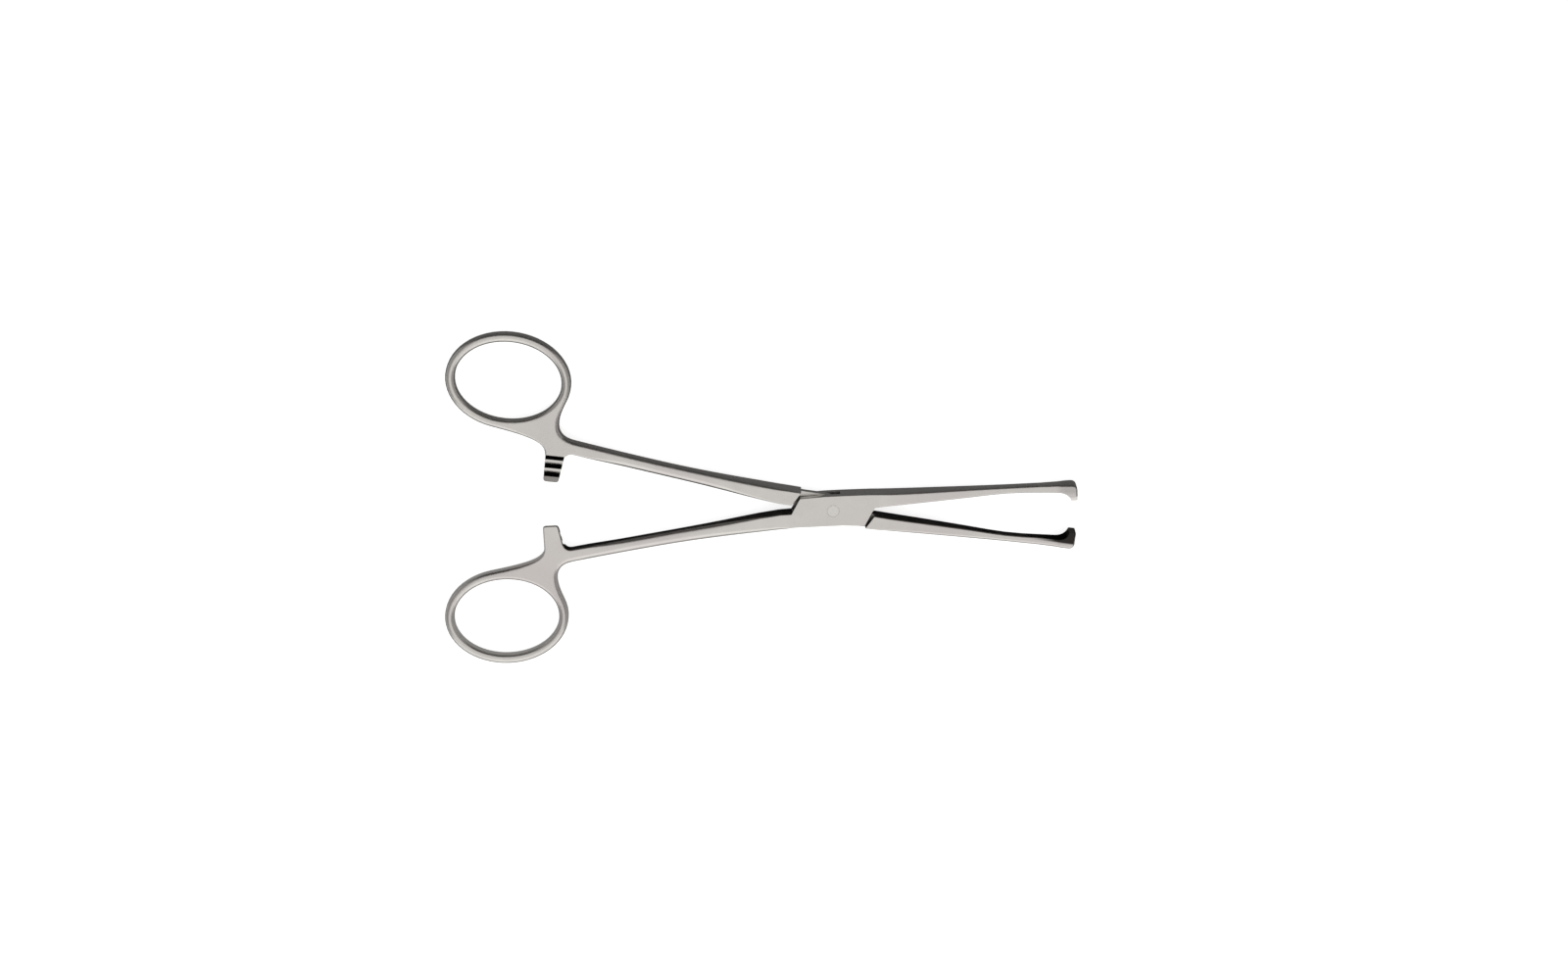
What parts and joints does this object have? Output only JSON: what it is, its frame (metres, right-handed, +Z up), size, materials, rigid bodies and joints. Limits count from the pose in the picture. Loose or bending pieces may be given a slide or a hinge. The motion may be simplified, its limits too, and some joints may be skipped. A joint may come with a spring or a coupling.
{
  "type": "toothed tissue forceps",
  "caption": "Ring-handled tissue forceps with a box lock, a ratchet between the shanks and bent-in jaws that end in interlocking toothed blades.",
  "frame": {"origin": "on the pivot axis, at the face of the box that lies on the table", "axes": "+X along the middle of the instrument towards the jaws, +Z up along the pivot axis, out of the plane of the finger rings; +Y towards the ring of the male half"},
  "size_m": [0.1562, 0.085, 0.0058],
  "materials": {
    "satin_steel": "satin, with a fine grain along each arm",
    "peened_steel": "satin, ground flush with the box"
  },
  "bodies": {
    "female": {"female_half": "satin_steel", "pivot_pin": "peened_steel"},
    "male": {"male_half": "satin_steel"}
  },
  "joints": [
    {"name": "box_lock", "type": "hinge", "parent": "female", "child": "male", "pos_m": [0, 0, 0], "axis": [0, 0, -1], "range_deg": [-8.9, 49.1]}
  ]
}
